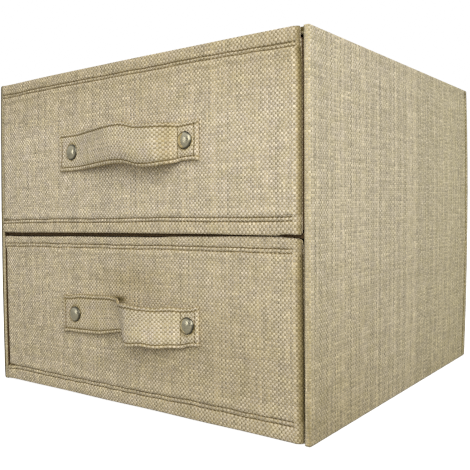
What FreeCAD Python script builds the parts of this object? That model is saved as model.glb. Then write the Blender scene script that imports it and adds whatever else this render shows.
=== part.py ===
import FreeCAD, Part
import math
import os

# Two-drawer storage box: boards covered in linen-look cloth, with riveted strap handles.
# Millimetres. +Z is up, the front faces -Y, and the origin is the centre of the underside of the case.

# ---- driving dimensions: case ----
case_width = 300.0
case_depth = 300.0
case_height = 250.0
board = 3.0          # case boards and drawer fronts
cloth = 0.9          # linen-look outer cloth
lining = 0.6         # thin non-woven inner cloth
panel = cloth + board + lining      # a covered case panel
set_back = 3.8       # front edges of top, bottom and shelf behind the side panels' front edges
shelf_under = 123.8  # height of the shelf's underside
shelf_thick = lining + board + lining

# ---- driving dimensions: drawers ----
side_gap = 1.2       # drawer front to side panel
front_thick = panel  # covered drawer front
hem = 8.5            # soft stitched hem above and below a drawer front's board
hem_thick = 2.2
hem_sunk = 1.1       # hem behind the face of the front
front_board_half = 141.0
front_corner_r = 6.0
wall_board = 2.5     # drawer sides, back and bottom
run_gap = 1.5        # drawer side to case side
slide_gap = 0.5      # drawer underside to the surface it slides on
back_gap = 2.5       # drawer back to case back

DRAWERS = {
    "upper": {"face": -152.3, "front_z": (127.4, 249.4), "body_z": (shelf_under + shelf_thick + slide_gap, 243.0)},
    "lower": {"face": -150.0, "front_z": (0.6, 125.2), "body_z": (panel + slide_gap, 121.4)},
}

# ---- driving dimensions: handle ----
strap_wide = 29.0
strap_thick = 2.4
strap_half = 68.0    # half its length along the front
strap_rise = 13.0    # finger gap behind the crown
handle_x = 2.0       # middle of a strap, a little to the right
rivet_in = 12.3      # rivet from a strap's end
rivet_r = 6.25
rivet_high = 2.6
post_r = 2.0
post_head_r = 3.2
washer_r = 6.0
washer_thick = 0.8
# Each strap hangs its own way. foot: where the left and the right flat end turn outwards; crown: the ends of the
# crown's flat; up: middle of the strap above the middle of the drawer front.
STRAPS = {
    "upper": {"foot": (-46.0, 51.2), "crown": (4.0, 38.0), "up": 0.0},
    "lower": {"foot": (-26.0, 51.2), "crown": (11.0, 18.0), "up": 0.9},
}

V = FreeCAD.Vector
os.makedirs("parts", exist_ok=True)


def block(x, y, z):
    """A block between two X, two Y and two Z values."""
    return Part.makeBox(x[1] - x[0], y[1] - y[0], z[1] - z[0], V(x[0], y[0], z[0]))


def plate(x, y, z, r):
    """An upright plate facing Y whose two lower corners are rounded."""
    (x0, x1), (z0, z1), y0 = x, z, y[0]
    s = r * (1.0 - math.sqrt(0.5))
    edges = [
        Part.LineSegment(V(x0 + r, y0, z0), V(x1 - r, y0, z0)),
        Part.Arc(V(x1 - r, y0, z0), V(x1 - s, y0, z0 + s), V(x1, y0, z0 + r)),
        Part.LineSegment(V(x1, y0, z0 + r), V(x1, y0, z1)),
        Part.LineSegment(V(x1, y0, z1), V(x0, y0, z1)),
        Part.LineSegment(V(x0, y0, z1), V(x0, y0, z0 + r)),
        Part.Arc(V(x0, y0, z0 + r), V(x0 + s, y0, z0 + s), V(x0 + r, y0, z0)),
    ]
    wire = Part.Wire([e.toShape() for e in edges])
    return Part.Face(wire).extrude(V(0, y[1] - y[0], 0))


def rod(x, z, y, r):
    """A round rod along Y."""
    return Part.makeCylinder(r, y[1] - y[0], V(x, y[0], z), V(0, 1, 0))


def save(name, shape):
    shape = shape.removeSplitter() if shape.ShapeType == "Solid" else shape
    if not shape.isValid():
        raise ValueError(name + " is not a valid shape")
    shape.exportStep("parts/" + name + ".step")
    print(name, len(shape.Solids), round(shape.Volume, 1))


def one(shape):
    """The single solid that a boolean left."""
    if len(shape.Solids) != 1:
        raise ValueError("expected one solid, found %d" % len(shape.Solids))
    return shape.Solids[0]


# ---- case ----
hw, hd = case_width / 2, case_depth / 2
inner = hw - panel                       # inner face of a side panel
front_edge = -hd + set_back              # front edge of top, bottom and shelf
back_in = hd - panel                     # inner face of the back panel

for side, s in (("left", -1), ("right", 1)):
    def across(a, b):
        return tuple(sorted((s * a, s * b)))

    outer = block(across(hw, inner), (-hd, hd), (0, case_height))
    pocket = block(across(hw - cloth, inner), (-hd + cloth, hd - cloth), (cloth, case_height - cloth))
    save("case_%s_cover" % side, one(outer.cut(pocket)))
    save("case_%s_board" % side, block(across(hw - cloth, hw - cloth - board), (-hd + cloth, hd - cloth), (cloth, case_height - cloth)))
    save("case_%s_lining" % side, block(across(hw - cloth - board, inner), (-hd + cloth, hd - cloth), (cloth, case_height - cloth)))

for name, z_out, z_in in (("bottom", 0.0, panel), ("top", case_height, case_height - panel)):
    up = 1 if z_in > z_out else -1

    def layer(a, b):
        return tuple(sorted((z_out + up * a, z_out + up * b)))

    wide, deep = (-inner + cloth, inner - cloth), (front_edge + cloth, back_in - cloth)
    outer = block((-inner, inner), (front_edge, back_in), layer(0, panel))
    save("case_%s_cover" % name, one(outer.cut(block(wide, deep, layer(cloth, panel)))))
    save("case_%s_board" % name, block(wide, deep, layer(cloth, cloth + board)))
    save("case_%s_lining" % name, block(wide, deep, layer(cloth + board, panel)))

outer = block((-inner, inner), (back_in, hd), (0, case_height))
wide, tall = (-inner + cloth, inner - cloth), (cloth, case_height - cloth)
save("case_back_cover", one(outer.cut(block(wide, (back_in, hd - cloth), tall))))
save("case_back_board", block(wide, (hd - cloth - board, hd - cloth), tall))
save("case_back_lining", block(wide, (back_in, hd - cloth - board), tall))

shelf_z = (shelf_under, shelf_under + shelf_thick)
shelf_board = block(
    (-inner + lining, inner - lining), (front_edge + lining, back_in), (shelf_z[0] + lining, shelf_z[1] - lining)
)
save("case_shelf_board", shelf_board)
save("case_shelf_cover", one(block((-inner, inner), (front_edge, back_in), shelf_z).cut(shelf_board)))

# ---- drawers ----
front_half = inner - side_gap
body_half = inner - run_gap
wall_in = body_half - lining - wall_board      # inner face of a wall board
room = wall_in - lining                        # inside of the drawer
back_out = back_in - back_gap


def strap_profile(face, foot, crown):
    """The strap seen from above: flat ends, two tangent arcs up each side, flat crown. Side -1 is the left."""
    h, t = strap_rise, strap_thick
    ends_x = (handle_x - strap_half, handle_x + strap_half)

    def arcs(side):
        i = 0 if side < 0 else 1
        run = abs(foot[i] - crown[i])
        return foot[i], crown[i], (run * run + h * h) / (4 * h), 2 * math.atan2(h, run)

    def low(side, share, off):
        """Arc that leaves the flat end; off is 0 at the side touching the front and t outside."""
        x, _, r, phi = arcs(side)
        q = r + t / 2 - off
        return V(x - side * q * math.sin(share * phi), face - (r + t / 2 - q * math.cos(share * phi)), 0)

    def high(side, share, off):
        _, x, r, phi = arcs(side)
        q = r - t / 2 + off
        return V(x + side * q * math.sin(share * phi), face - (h + t / 2 - r + q * math.cos(share * phi)), 0)

    edges = []
    for off in (0.0, t):
        pts = [
            (V(ends_x[0], face - off, 0), None, low(-1, 0, off)),
            (low(-1, 0, off), low(-1, 0.5, off), low(-1, 1, off)),
            (high(-1, 1, off), high(-1, 0.5, off), high(-1, 0, off)),
            (high(-1, 0, off), None, high(1, 0, off)),
            (high(1, 0, off), high(1, 0.5, off), high(1, 1, off)),
            (low(1, 1, off), low(1, 0.5, off), low(1, 0, off)),
            (low(1, 0, off), None, V(ends_x[1], face - off, 0)),
        ]
        edges.append([Part.LineSegment(a, c).toShape() if b is None else Part.Arc(a, b, c).toShape() for a, b, c in pts])
    ends = [
        Part.LineSegment(V(ends_x[1], face, 0), V(ends_x[1], face - t, 0)).toShape(),
        Part.LineSegment(V(ends_x[0], face - t, 0), V(ends_x[0], face, 0)).toShape(),
    ]
    ring = edges[0] + [ends[0]] + edges[1][::-1] + [ends[1]]
    return Part.Face(Part.Wire(Part.__sortEdges__(ring)))


for name, d in DRAWERS.items():
    face = d["face"]
    back = face + front_thick                  # back of the drawer front
    f0, f1 = d["front_z"]
    b0, b1 = d["body_z"]
    lie = STRAPS[name]
    handle_z = (f0 + f1) / 2 + lie["up"]
    rivets = (handle_x - strap_half + rivet_in, handle_x + strap_half - rivet_in)
    board_z = (f0 + hem + 1.0, f1 - hem - 1.0)
    holes = [rod(x, handle_z, (face - 10, face + 10), post_r) for x in rivets]

    def pierced(shape):
        for hole in holes:
            shape = shape.cut(hole)
        return one(shape)

    front_board = plate((-front_board_half, front_board_half), (face + cloth, face + cloth + board), board_z, front_corner_r)

    # lining: the inside of walls, bottom and front, and a fold over the rim
    rim_z = (b1 - lining, b1)
    shell = block((-wall_in, wall_in), (back, back_out - lining - wall_board), (b0 + lining + wall_board, b1))
    shell = shell.fuse(block((-body_half, body_half), (face + hem_sunk + hem_thick, back_out), rim_z))
    shell = shell.fuse(block((-wall_in, wall_in), (back - lining, back), (b0 + lining + wall_board, b1)))
    inside = block((-room, room), (back, back_out - 2 * lining - wall_board), (b0 + 2 * lining + wall_board, b1 + 1))
    lining_solid = one(shell.cut(inside).removeSplitter())

    # cover of the front: face, soft hems above and below, and the layer sewn to the drawer body
    cover = block((-front_half, front_half), (face, back), (f0 + hem, f1 - hem))
    cover = cover.fuse(block((-front_half, front_half), (face + hem_sunk, face + hem_sunk + hem_thick), (f0, f1)))
    cover = cover.fuse(block((-body_half, body_half), (face + hem_sunk + hem_thick, back), (b0, b1 - lining)))
    cover = one(cover.removeSplitter().cut(front_board).cut(lining_solid))

    save("%s_drawer_front_board" % name, pierced(front_board.cut(lining_solid)))
    save("%s_drawer_front_cover" % name, pierced(cover))
    save("%s_drawer_lining" % name, pierced(lining_solid))

    # sheath: one thin layer round the left, right, back and underside
    sheath = block((-body_half, body_half), (back, back_out), (b0, b1 - lining))
    core = block((-body_half + lining, body_half - lining), (back, back_out - lining), (b0 + lining, b1))
    save("%s_drawer_sheath" % name, one(sheath.cut(core)))

    wall_z = (b0 + lining, b1 - lining)
    wall_y = (back, back_out - lining)
    save("%s_drawer_left_board" % name, block((-body_half + lining, -wall_in), wall_y, wall_z))
    save("%s_drawer_right_board" % name, block((wall_in, body_half - lining), wall_y, wall_z))
    save("%s_drawer_back_board" % name, block((-wall_in, wall_in), (wall_y[1] - wall_board, wall_y[1]), wall_z))
    save(
        "%s_drawer_bottom_board" % name,
        block((-wall_in, wall_in), (back, wall_y[1] - wall_board), (b0 + lining, b0 + lining + wall_board)),
    )

    # handle: strap, two domed caps, two posts through the front, two washers on the inside
    strap = strap_profile(face, lie["foot"], lie["crown"]).extrude(V(0, 0, strap_wide))
    strap.translate(V(0, 0, handle_z - strap_wide / 2))
    save("%s_drawer_handle_strap" % name, pierced(strap))

    caps, posts, washers = [], [], []
    for x in rivets:
        seat = face - strap_thick
        brim = 0.7
        dome = rivet_high - brim
        ball_r = (rivet_r * rivet_r + dome * dome) / (2 * dome)
        ball = Part.makeSphere(ball_r, V(x, seat - brim - dome + ball_r, handle_z))
        keep = rod(x, handle_z, (seat - rivet_high - 1, seat - brim), rivet_r + 1)
        caps.append(one(rod(x, handle_z, (seat - brim, seat), rivet_r).fuse(ball.common(keep)).removeSplitter()))
        tail = back + washer_thick
        posts.append(one(rod(x, handle_z, (seat, tail), post_r).fuse(rod(x, handle_z, (tail, tail + 0.8), post_head_r))))
        washers.append(one(rod(x, handle_z, (back, tail), washer_r).cut(rod(x, handle_z, (back - 1, tail + 1), post_r))))
    save("%s_drawer_rivet_caps" % name, Part.makeCompound(caps))
    save("%s_drawer_rivet_posts" % name, Part.makeCompound(posts))
    save("%s_drawer_rivet_washers" % name, Part.makeCompound(washers))
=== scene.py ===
import math

import bpy
import numpy as np
from mathutils import Matrix


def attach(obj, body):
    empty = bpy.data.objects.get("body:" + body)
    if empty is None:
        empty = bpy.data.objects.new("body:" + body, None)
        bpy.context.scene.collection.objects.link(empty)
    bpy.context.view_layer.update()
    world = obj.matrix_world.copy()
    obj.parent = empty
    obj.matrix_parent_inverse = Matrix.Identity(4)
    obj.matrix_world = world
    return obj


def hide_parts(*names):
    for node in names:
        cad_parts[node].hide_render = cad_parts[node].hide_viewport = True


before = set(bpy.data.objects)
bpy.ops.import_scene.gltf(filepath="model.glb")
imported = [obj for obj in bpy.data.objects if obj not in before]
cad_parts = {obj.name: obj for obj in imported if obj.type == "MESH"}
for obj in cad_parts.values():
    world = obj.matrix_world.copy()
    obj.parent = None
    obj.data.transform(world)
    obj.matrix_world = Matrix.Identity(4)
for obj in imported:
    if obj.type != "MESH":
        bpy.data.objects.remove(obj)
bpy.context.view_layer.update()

MM = 0.001
PITCH = 0.0015          # one thread of the cloth


# ------------------------------------------------------------------ helpers
def smooth(lo, hi, x):
    """0 below lo, 1 above hi, with a soft step between."""
    t = np.clip((np.asarray(x, float) - lo) / (hi - lo), 0.0, 1.0)
    return t * t * (3.0 - 2.0 * t)


def hump(x, centre, wide):
    return np.exp(-(((np.asarray(x, float) - centre) / wide) ** 2))


def ripple(u, v, seed, wave, n=7):
    """Soft waves from -1 to 1 about wave millimetres long, always the same for one seed."""
    rng = np.random.default_rng(seed)
    total = 0.0
    for _ in range(n):
        ang = rng.uniform(0.0, 2.0 * math.pi)
        length = wave * rng.uniform(0.6, 1.8)
        total = total + np.sin((np.cos(ang) * u + np.sin(ang) * v) * 2.0 * math.pi / length + rng.uniform(0.0, 2.0 * math.pi))
    return total / (n ** 0.5 * 1.4)


def curve(knots, x):
    """Smooth line through (x, value) knots that doesn't overshoot."""
    k = np.array(knots, float)
    xs, ys = k[:, 0], k[:, 1]
    h = np.diff(xs)
    dlt = np.diff(ys) / h
    m = np.zeros_like(ys)
    for q in range(1, len(xs) - 1):
        if dlt[q - 1] * dlt[q] > 0:
            w1, w2 = 2 * h[q] + h[q - 1], h[q] + 2 * h[q - 1]
            m[q] = (w1 + w2) / (w1 / dlt[q - 1] + w2 / dlt[q])
    m[0], m[-1] = dlt[0], dlt[-1]
    x = np.clip(x, xs[0], xs[-1])
    q = np.clip(np.searchsorted(xs, x) - 1, 0, len(h) - 1)
    t = (x - xs[q]) / h[q]
    return ((2 * t ** 3 - 3 * t ** 2 + 1) * ys[q] + (t ** 3 - 2 * t ** 2 + t) * h[q] * m[q]
            + (-2 * t ** 3 + 3 * t ** 2) * ys[q + 1] + (t ** 3 - t ** 2) * h[q] * m[q + 1])


# The sewn box isn't perfectly square: every point is moved by at most about 2.5 mm.
def lean(p, drawer=False):
    p = np.asarray(p, float)
    x, y, z = p[..., 0], p[..., 1], p[..., 2]
    t = z / 250.0
    left = (150.0 - x) / 300.0
    back = (y + 150.0) / 300.0
    b = np.zeros_like(back) if drawer else back
    mid = 4.0 * t * (1.0 - t)
    dx = left * (2.5 * t - 2.5 * (1.0 - t) - 1.87 * mid)
    dx = dx + (1.0 - left) * ((1.0 - b) * (-0.72 * t - 1.81 * (1.0 - t)) + b * 2.16 * mid)
    dy = np.clip(back, 0.0, 1.0) * (2.5 * t - 2.44 * (1.0 - t))
    dz = t * ((1.0 - b) * (-1.25 * left + 1.05 * (1.0 - left)) + 2.21 * b)
    dz = dz + t * 0.77 * 4.0 * left * (1.0 - left) * (1.0 - b)
    dz = dz + mid * (-0.95 * left + 0.5 * (1.0 - left))
    return p + np.stack([dx, dy, dz], -1)


def spaced(stops):
    """Grid lines through the stops [(place, step after it), ..., (last place, None)]."""
    out = [stops[0][0]]
    for (a, step), (b, _) in zip(stops[:-1], stops[1:]):
        n = max(1, int(math.ceil((b - a) / step - 1e-9)))
        out += list(a + (b - a) * (np.arange(1, n + 1) / n))
    return np.array(out)


class Sewn:
    """Collects quads and their two UV layouts, then becomes one Blender mesh."""

    def __init__(self):
        self.points, self.shades, self.count = [], [], 0
        self.quads, self.uvs, self.lays, self.tris, self.flat = [], [], [], [], []

    def add(self, xyz, shade=0.0):
        xyz = np.asarray(xyz, float)
        shape = xyz.shape[:-1]
        n = int(np.prod(shape))
        self.points.append(xyz.reshape(-1, 3))
        self.shades.append(np.broadcast_to(np.asarray(shade, float), shape).reshape(-1))
        ids = np.arange(self.count, self.count + n).reshape(shape)
        self.count += n
        return ids

    def grid(self, ids, u, v, lay_u=None, lay_v=None):
        """ids, u and v are arrays of one shape; u and v in millimetres."""
        def four(w):
            return np.stack([w[:-1, :-1], w[1:, :-1], w[1:, 1:], w[:-1, 1:]], -1).reshape(-1, 4)
        u, v = np.broadcast_to(u, ids.shape), np.broadcast_to(v, ids.shape)
        lay_u = u if lay_u is None else np.broadcast_to(lay_u, ids.shape)
        lay_v = v if lay_v is None else np.broadcast_to(lay_v, ids.shape)
        self.quads.append(four(ids))
        self.uvs.append(np.stack([four(u), four(v)], -1))
        self.lays.append(np.stack([four(lay_u), four(lay_v)], -1))

    def make(self, name, body, slot, material, warp=None, sharp=40.0):
        pts = np.concatenate(self.points)
        if warp is not None:
            pts = warp(pts)
        quads = np.concatenate(self.quads)
        uv = np.concatenate(self.uvs) * MM
        a, b, c, d = (pts[quads[:, k]] for k in range(4))
        volume = np.einsum("ij,ij->i", a, np.cross(b, c)).sum() + np.einsum("ij,ij->i", a, np.cross(c, d)).sum()
        # islands of the second layout, packed on shelves
        lay = []
        order = sorted(range(len(self.lays)), key=lambda k: -float(np.ptp(self.lays[k][..., 1])))
        sizes = [(float(np.ptp(q[..., 0])) + 2.0, float(np.ptp(q[..., 1])) + 2.0) for q in self.lays]
        wide = max(max(s[0] for s in sizes), 1.05 * math.sqrt(sum(s[0] * s[1] for s in sizes)))
        place, x, y, high = {}, 0.0, 0.0, 0.0
        for k in order:
            w, h = sizes[k]
            if x + w > wide + 1e-6:
                x, y, high = 0.0, y + high, 0.0
            place[k] = (x + 1.0, y + 1.0)
            x, high = x + w, max(high, h)
        span = max(wide, y + high)
        for k, q in enumerate(self.lays):
            low = q.reshape(-1, 2).min(0)
            lay.append((q - low + np.array(place[k])) / span)
        lay = np.concatenate(lay)
        if volume < 0:
            quads, uv, lay = quads[:, ::-1], uv[:, ::-1], lay[:, ::-1]
        me = bpy.data.meshes.new(name)
        me.vertices.add(len(pts))
        me.vertices.foreach_set("co", (pts * MM).astype(np.float32).ravel())
        me.loops.add(quads.size)
        me.loops.foreach_set("vertex_index", quads.astype(np.int32).ravel())
        me.polygons.add(len(quads))
        me.polygons.foreach_set("loop_start", np.arange(0, quads.size, 4, dtype=np.int32))
        me.update(calc_edges=True)
        for title, data in (("weave", uv), ("OFBake", lay)):
            me.uv_layers.new(name=title).data.foreach_set("uv", np.ascontiguousarray(data, dtype=np.float32).ravel())
        at = me.attributes.new("shade", "FLOAT", "POINT")
        at.data.foreach_set("value", np.concatenate(self.shades).astype(np.float32))
        me.polygons.foreach_set("use_smooth", np.ones(len(quads), dtype=bool))
        me.set_sharp_from_angle(angle=math.radians(sharp))
        me.validate()
        me.materials.append(material)
        ob = bpy.data.objects.new(name, me)
        bpy.context.scene.collection.objects.link(ob)
        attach(ob, body)
        return ob


def perimeter(na, nb):
    """Grid places round the edge, and for each step the side it lies on: 0 low b, 1 high a, 2 high b, 3 low a."""
    ring = [(i, 0) for i in range(na - 1)] + [(na - 1, j) for j in range(nb - 1)]
    ring += [(i, nb - 1) for i in range(na - 1, 0, -1)] + [(0, j) for j in range(nb - 1, 0, -1)]
    return np.array(ring)


def slab(m, s, t, front, back, place, rows=((0.5, 0.5),)):
    """A closed sheet over the lines s and t. front and back give (a, b, depth, shade) there, and place turns that
    into a point. rows are the rows of the edge between them: share of the depth and share of the way in the plan."""
    S, T = np.meshgrid(s, t, indexing="ij")
    na, nb = S.shape
    F, B = front(S, T), back(S, T)
    idf = m.add(place(F[0], F[1], F[2]), F[3])
    idb = m.add(place(B[0], B[1], B[2]), B[3])
    m.grid(idf, S, T)
    m.grid(idb.T, S.T, T.T)
    ring = perimeter(na, nb)
    i, j = ring[:, 0], ring[:, 1]
    pf = np.stack([np.asarray(w, float)[i, j] for w in F[:3]], -1)
    pb = np.stack([np.asarray(w, float)[i, j] for w in B[:3]], -1)
    sh = np.broadcast_to(np.asarray(F[3], float), S.shape)[i, j]
    loops, deep = [idf[i, j]], [0.0 * pf[:, 2]]
    for f_deep, f_plan in rows:
        q = pf + (pb - pf) * np.array([f_plan, f_plan, f_deep])
        loops.append(m.add(place(q[:, 0], q[:, 1], q[:, 2]), sh * (1 - f_deep)))
        deep.append((pb[:, 2] - pf[:, 2]) * f_deep)
    loops.append(idb[i, j])
    deep.append(pb[:, 2] - pf[:, 2])
    loops, deep = np.array(loops), np.array(deep)
    corners = [0, na - 1, na + nb - 2, 2 * na + nb - 3, len(ring)]
    out = [(0, -1), (1, 0), (0, 1), (-1, 0)]
    ps, pt = S[i, j], T[i, j]
    for q in range(4):
        k = np.arange(corners[q], corners[q + 1] + 1) % len(ring)
        e = deep[:, k]
        u, v = ps[k] + out[q][0] * e, pt[k] + out[q][1] * e
        along = (ps if q in (0, 2) else pt)[k]
        m.grid(loops[:, k], u, v, np.broadcast_to(e, u.shape), np.broadcast_to(along, u.shape))


def tube(m, path, radius, sides=6, up=None):
    """A closed thin body along the points of path (k, 3), with a radius for each point."""
    path = np.asarray(path, float)
    k = len(path)
    step = np.gradient(path, axis=0)
    step /= np.linalg.norm(step, axis=1)[:, None] + 1e-12
    up = np.array([0.0, -1.0, 0.0]) if up is None else np.asarray(up, float)
    side = np.cross(step, up)
    side /= np.linalg.norm(side, axis=1)[:, None] + 1e-12
    over = np.cross(side, step)
    ang = np.linspace(0, 2 * math.pi, sides, endpoint=False)
    ring = path[:, None, :] + radius[:, None, None] * (np.cos(ang)[None, :, None] * side[:, None, :] + np.sin(ang)[None, :, None] * over[:, None, :])
    ids = m.add(ring)
    closed = np.concatenate([ids, ids[:, :1]], 1)
    length = np.concatenate([[0], np.cumsum(np.linalg.norm(np.diff(path, axis=0), axis=1))])
    m.grid(closed, length[:, None] + 0 * closed, np.linspace(0, 2, sides + 1)[None, :] + 0.0 * closed)
    # ends: two quads each close a six-sided ring
    for row, order in ((ids[0], 1), (ids[-1], -1)):
        r = row[::order]
        for quad in ((r[0], r[1], r[2], r[3]), (r[0], r[3], r[4], r[5])):
            m.grid(np.array([[quad[0], quad[1]], [quad[3], quad[2]]]), np.array([[0.0, 0.0], [0.3, 0.3]]), np.array([[0.0, 0.3], [0.0, 0.3]]))


# ------------------------------------------------------------------ materials
def lin(rgb):
    """Linear colour of an 8-bit sRGB one."""
    out = []
    for c in rgb:
        c = c / 255.0
        out.append(c / 12.92 if c <= 0.04045 else ((c + 0.055) / 1.055) ** 2.4)
    return (*out, 1.0)


class Nodes:
    def __init__(self, name):
        self.mat = bpy.data.materials.new(name)
        self.mat.use_nodes = True
        self.tree = self.mat.node_tree
        self.tree.nodes.clear()
        self.out = self.new("ShaderNodeOutputMaterial")
        self.skin = self.new("ShaderNodeBsdfPrincipled")
        self.link(self.skin.outputs[0], self.out.inputs[0])

    def new(self, kind, **settings):
        node = self.tree.nodes.new(kind)
        for k, v in settings.items():
            setattr(node, k, v)
        return node

    def link(self, a, b):
        self.tree.links.new(a, b)

    def put(self, socket, value):
        if isinstance(value, bpy.types.NodeSocket):
            self.link(value, socket)
        else:
            socket.default_value = value

    def math(self, op, *values):
        node = self.new("ShaderNodeMath", operation=op)
        for k, v in enumerate(values):
            self.put(node.inputs[k], v)
        return node.outputs[0]

    def sum(self, first, *rest):
        for v in rest:
            first = self.math("ADD", first, v)
        return first

    def mul(self, first, *rest):
        for v in rest:
            first = self.math("MULTIPLY", first, v)
        return first

    def span(self, value, a, b, c, d, soft=False):
        node = self.new("ShaderNodeMapRange")
        if soft:
            node.interpolation_type = "SMOOTHSTEP"
        self.put(node.inputs[0], value)
        for k, v in enumerate((a, b, c, d)):
            self.put(node.inputs[k + 1], v)
        return node.outputs[0]

    def xyz(self, x, y, z=0.0):
        node = self.new("ShaderNodeCombineXYZ")
        for k, v in enumerate((x, y, z)):
            self.put(node.inputs[k], v)
        return node.outputs[0]

    def noise(self, vector, scale=1.0, detail=2.0, rough=0.5):
        node = self.new("ShaderNodeTexNoise")
        self.put(node.inputs["Vector"], vector)
        self.put(node.inputs["Scale"], scale)
        self.put(node.inputs["Detail"], detail)
        self.put(node.inputs["Roughness"], rough)
        return node.outputs["Fac"]

    def white(self, value):
        node = self.new("ShaderNodeTexWhiteNoise", noise_dimensions="1D")
        self.put(node.inputs["W"], value)
        return node.outputs["Value"]

    def mix(self, fac, a, b):
        node = self.new("ShaderNodeMix", data_type="RGBA")
        self.put(node.inputs[0], fac)
        self.put(node.inputs[6], a)
        self.put(node.inputs[7], b)
        return node.outputs[2]

    def times(self, colour, fac):
        node = self.new("ShaderNodeVectorMath", operation="SCALE")
        self.put(node.inputs[0], colour[:3] if isinstance(colour, tuple) else colour)
        self.put(node.inputs["Scale"], fac)
        return node.outputs[0]

    def uv(self, name="weave"):
        node = self.new("ShaderNodeUVMap", uv_map=name)
        part = self.new("ShaderNodeSeparateXYZ")
        self.link(node.outputs[0], part.inputs[0])
        return node.outputs[0], part.outputs[0], part.outputs[1]

    def attribute(self, name):
        return self.new("ShaderNodeAttribute", attribute_name=name).outputs["Fac"]

    def bump(self, height, distance, strength=1.0, normal=None):
        node = self.new("ShaderNodeBump")
        node.inputs["Strength"].default_value = strength
        node.inputs["Distance"].default_value = distance
        self.put(node.inputs["Height"], height)
        if normal is not None:
            self.link(normal, node.inputs["Normal"])
        return node.outputs[0]

    def skin_set(self, **values):
        for k, v in values.items():
            self.put(self.skin.inputs[k.replace("_", " ")], v)


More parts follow.
